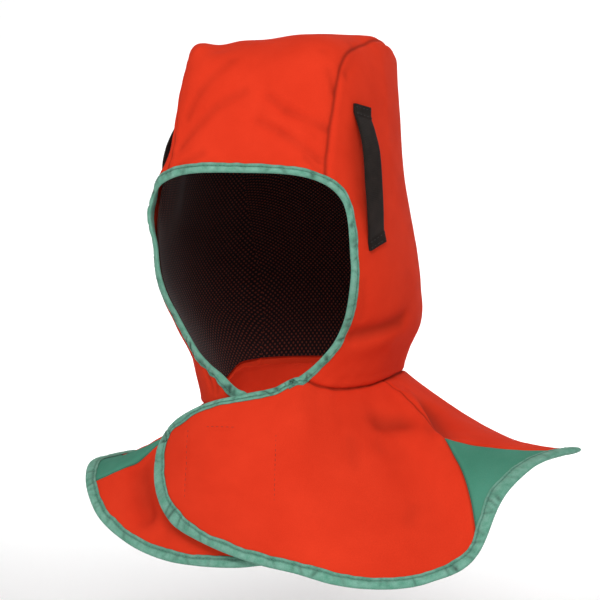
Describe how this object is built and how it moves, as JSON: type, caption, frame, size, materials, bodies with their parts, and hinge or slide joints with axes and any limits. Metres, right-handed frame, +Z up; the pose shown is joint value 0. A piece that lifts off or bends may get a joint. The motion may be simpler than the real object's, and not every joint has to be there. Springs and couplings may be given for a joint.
{
  "type": "welding balaclava",
  "caption": "Soft cloth welding hood with an open face, a shoulder cape that crosses over in front, bound edges, shoulder gussets and side loops for a helmet headband.",
  "frame": {"origin": "inside top of the crown, where the hood sits on a head", "axes": "+Z up, -Y the way the face looks, +X the wearer's left"},
  "size_m": [0.3537, 0.3137, 0.358],
  "materials": {
    "red_cloth": "matte cotton twill",
    "green_cloth": "matte cotton twill",
    "webbing": "woven webbing",
    "closure": "hook-and-loop pile",
    "mesh": "knit mesh"
  },
  "bodies": {
    "root": {"crown_panel": "red_cloth", "side_panel_left": "red_cloth", "side_panel_right": "red_cloth", "cape_front_left": "red_cloth", "cape_back": "red_cloth", "cape_front_right": "red_cloth", "gusset_left": "green_cloth", "gusset_right": "green_cloth", "face_binding": "green_cloth", "hem_binding": "green_cloth", "helmet_loop_left": "webbing", "helmet_loop_right": "webbing", "closure_patch": "closure", "mesh_lining": "mesh"}
  },
  "joints": []
}
